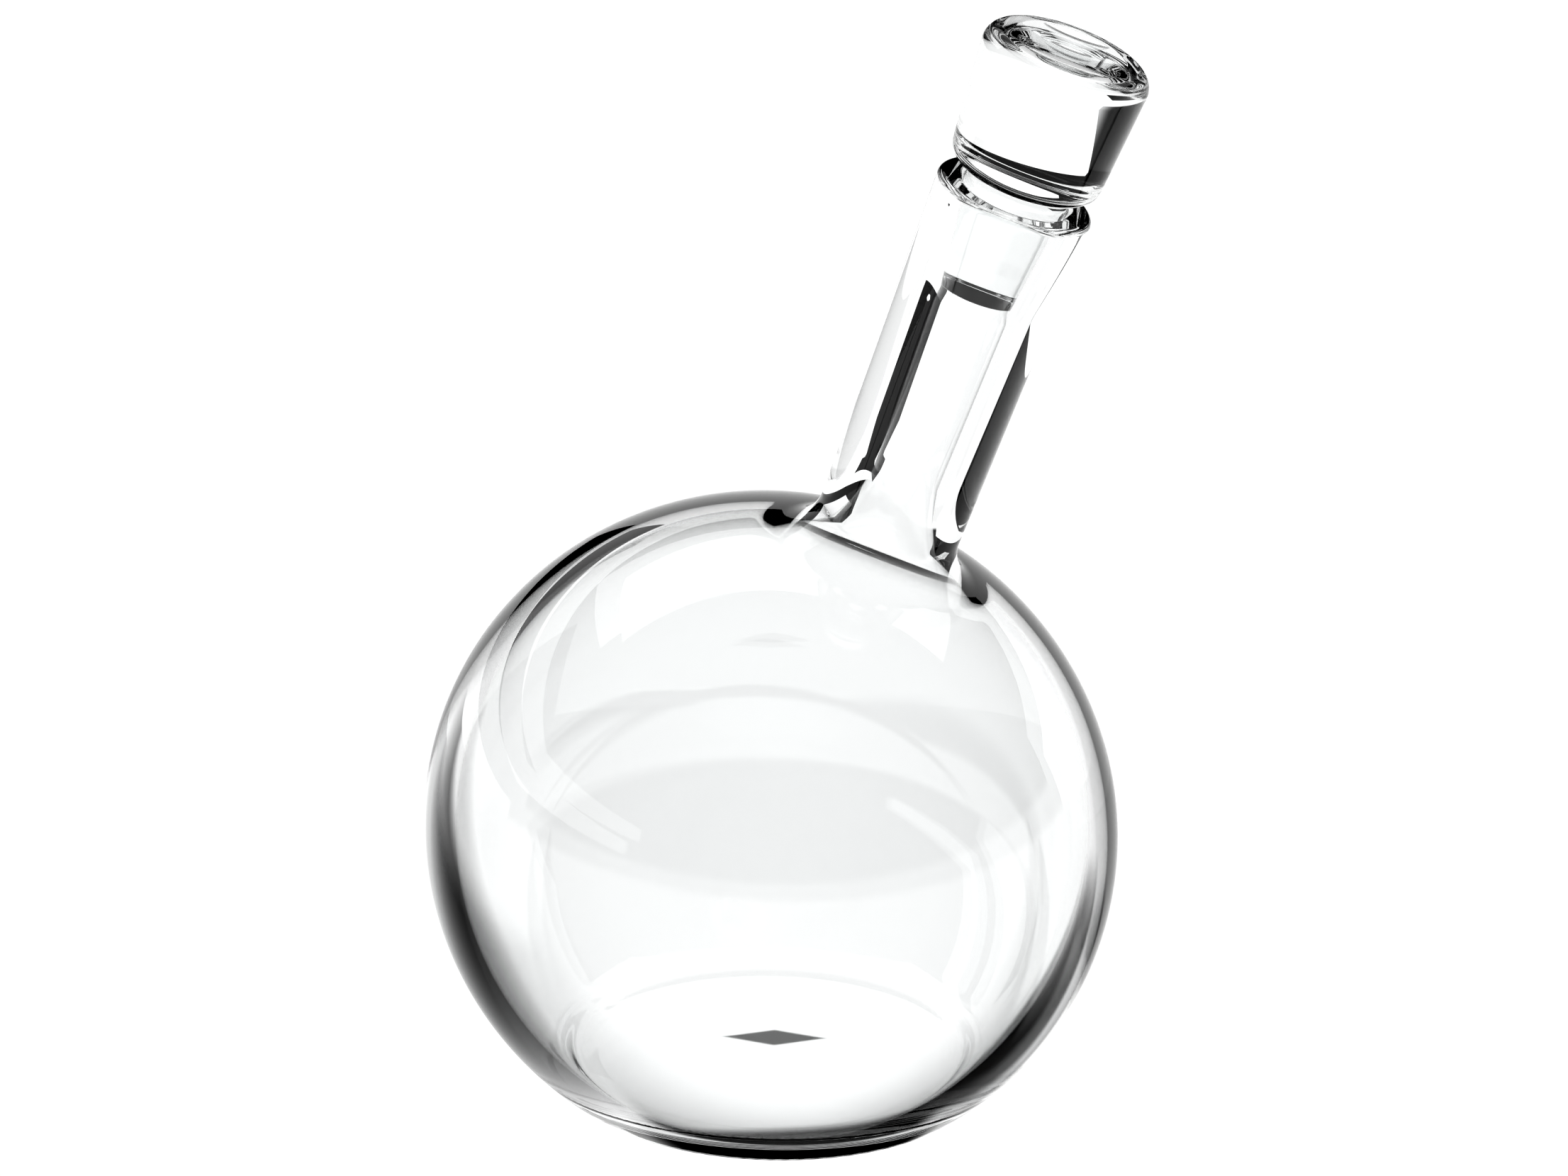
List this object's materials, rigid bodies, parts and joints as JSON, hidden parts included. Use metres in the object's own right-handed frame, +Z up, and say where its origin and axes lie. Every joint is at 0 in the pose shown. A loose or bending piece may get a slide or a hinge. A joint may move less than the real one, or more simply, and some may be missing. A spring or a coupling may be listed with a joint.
{
  "type": "wine decanter",
  "caption": "Round clear-glass wine decanter whose flat ground foot makes its flared neck lean, closed by a lift-out ground glass stopper with a dished head.",
  "frame": {"origin": "point of the flat foot right below the middle of the round body", "axes": "+Z up; the neck and stopper lean 19 degrees from +Z towards +X; the XZ plane is the plane of symmetry"},
  "size_m": [0.1538, 0.152, 0.2437],
  "materials": {
    "vessel_glass": "clear colourless glass, fire-polished",
    "stopper_glass": "clear colourless glass, polished all over, its plug ground to the neck"
  },
  "bodies": {
    "vessel": {"vessel_body": "vessel_glass", "vessel_neck": "vessel_glass"},
    "stopper": {"stopper": "stopper_glass"}
  },
  "joints": [
    {"name": "stopper_lift", "type": "slide", "parent": "vessel", "child": "stopper", "axis": [0.3256, 0, 0.9455], "range_m": [0, 0.06]}
  ]
}
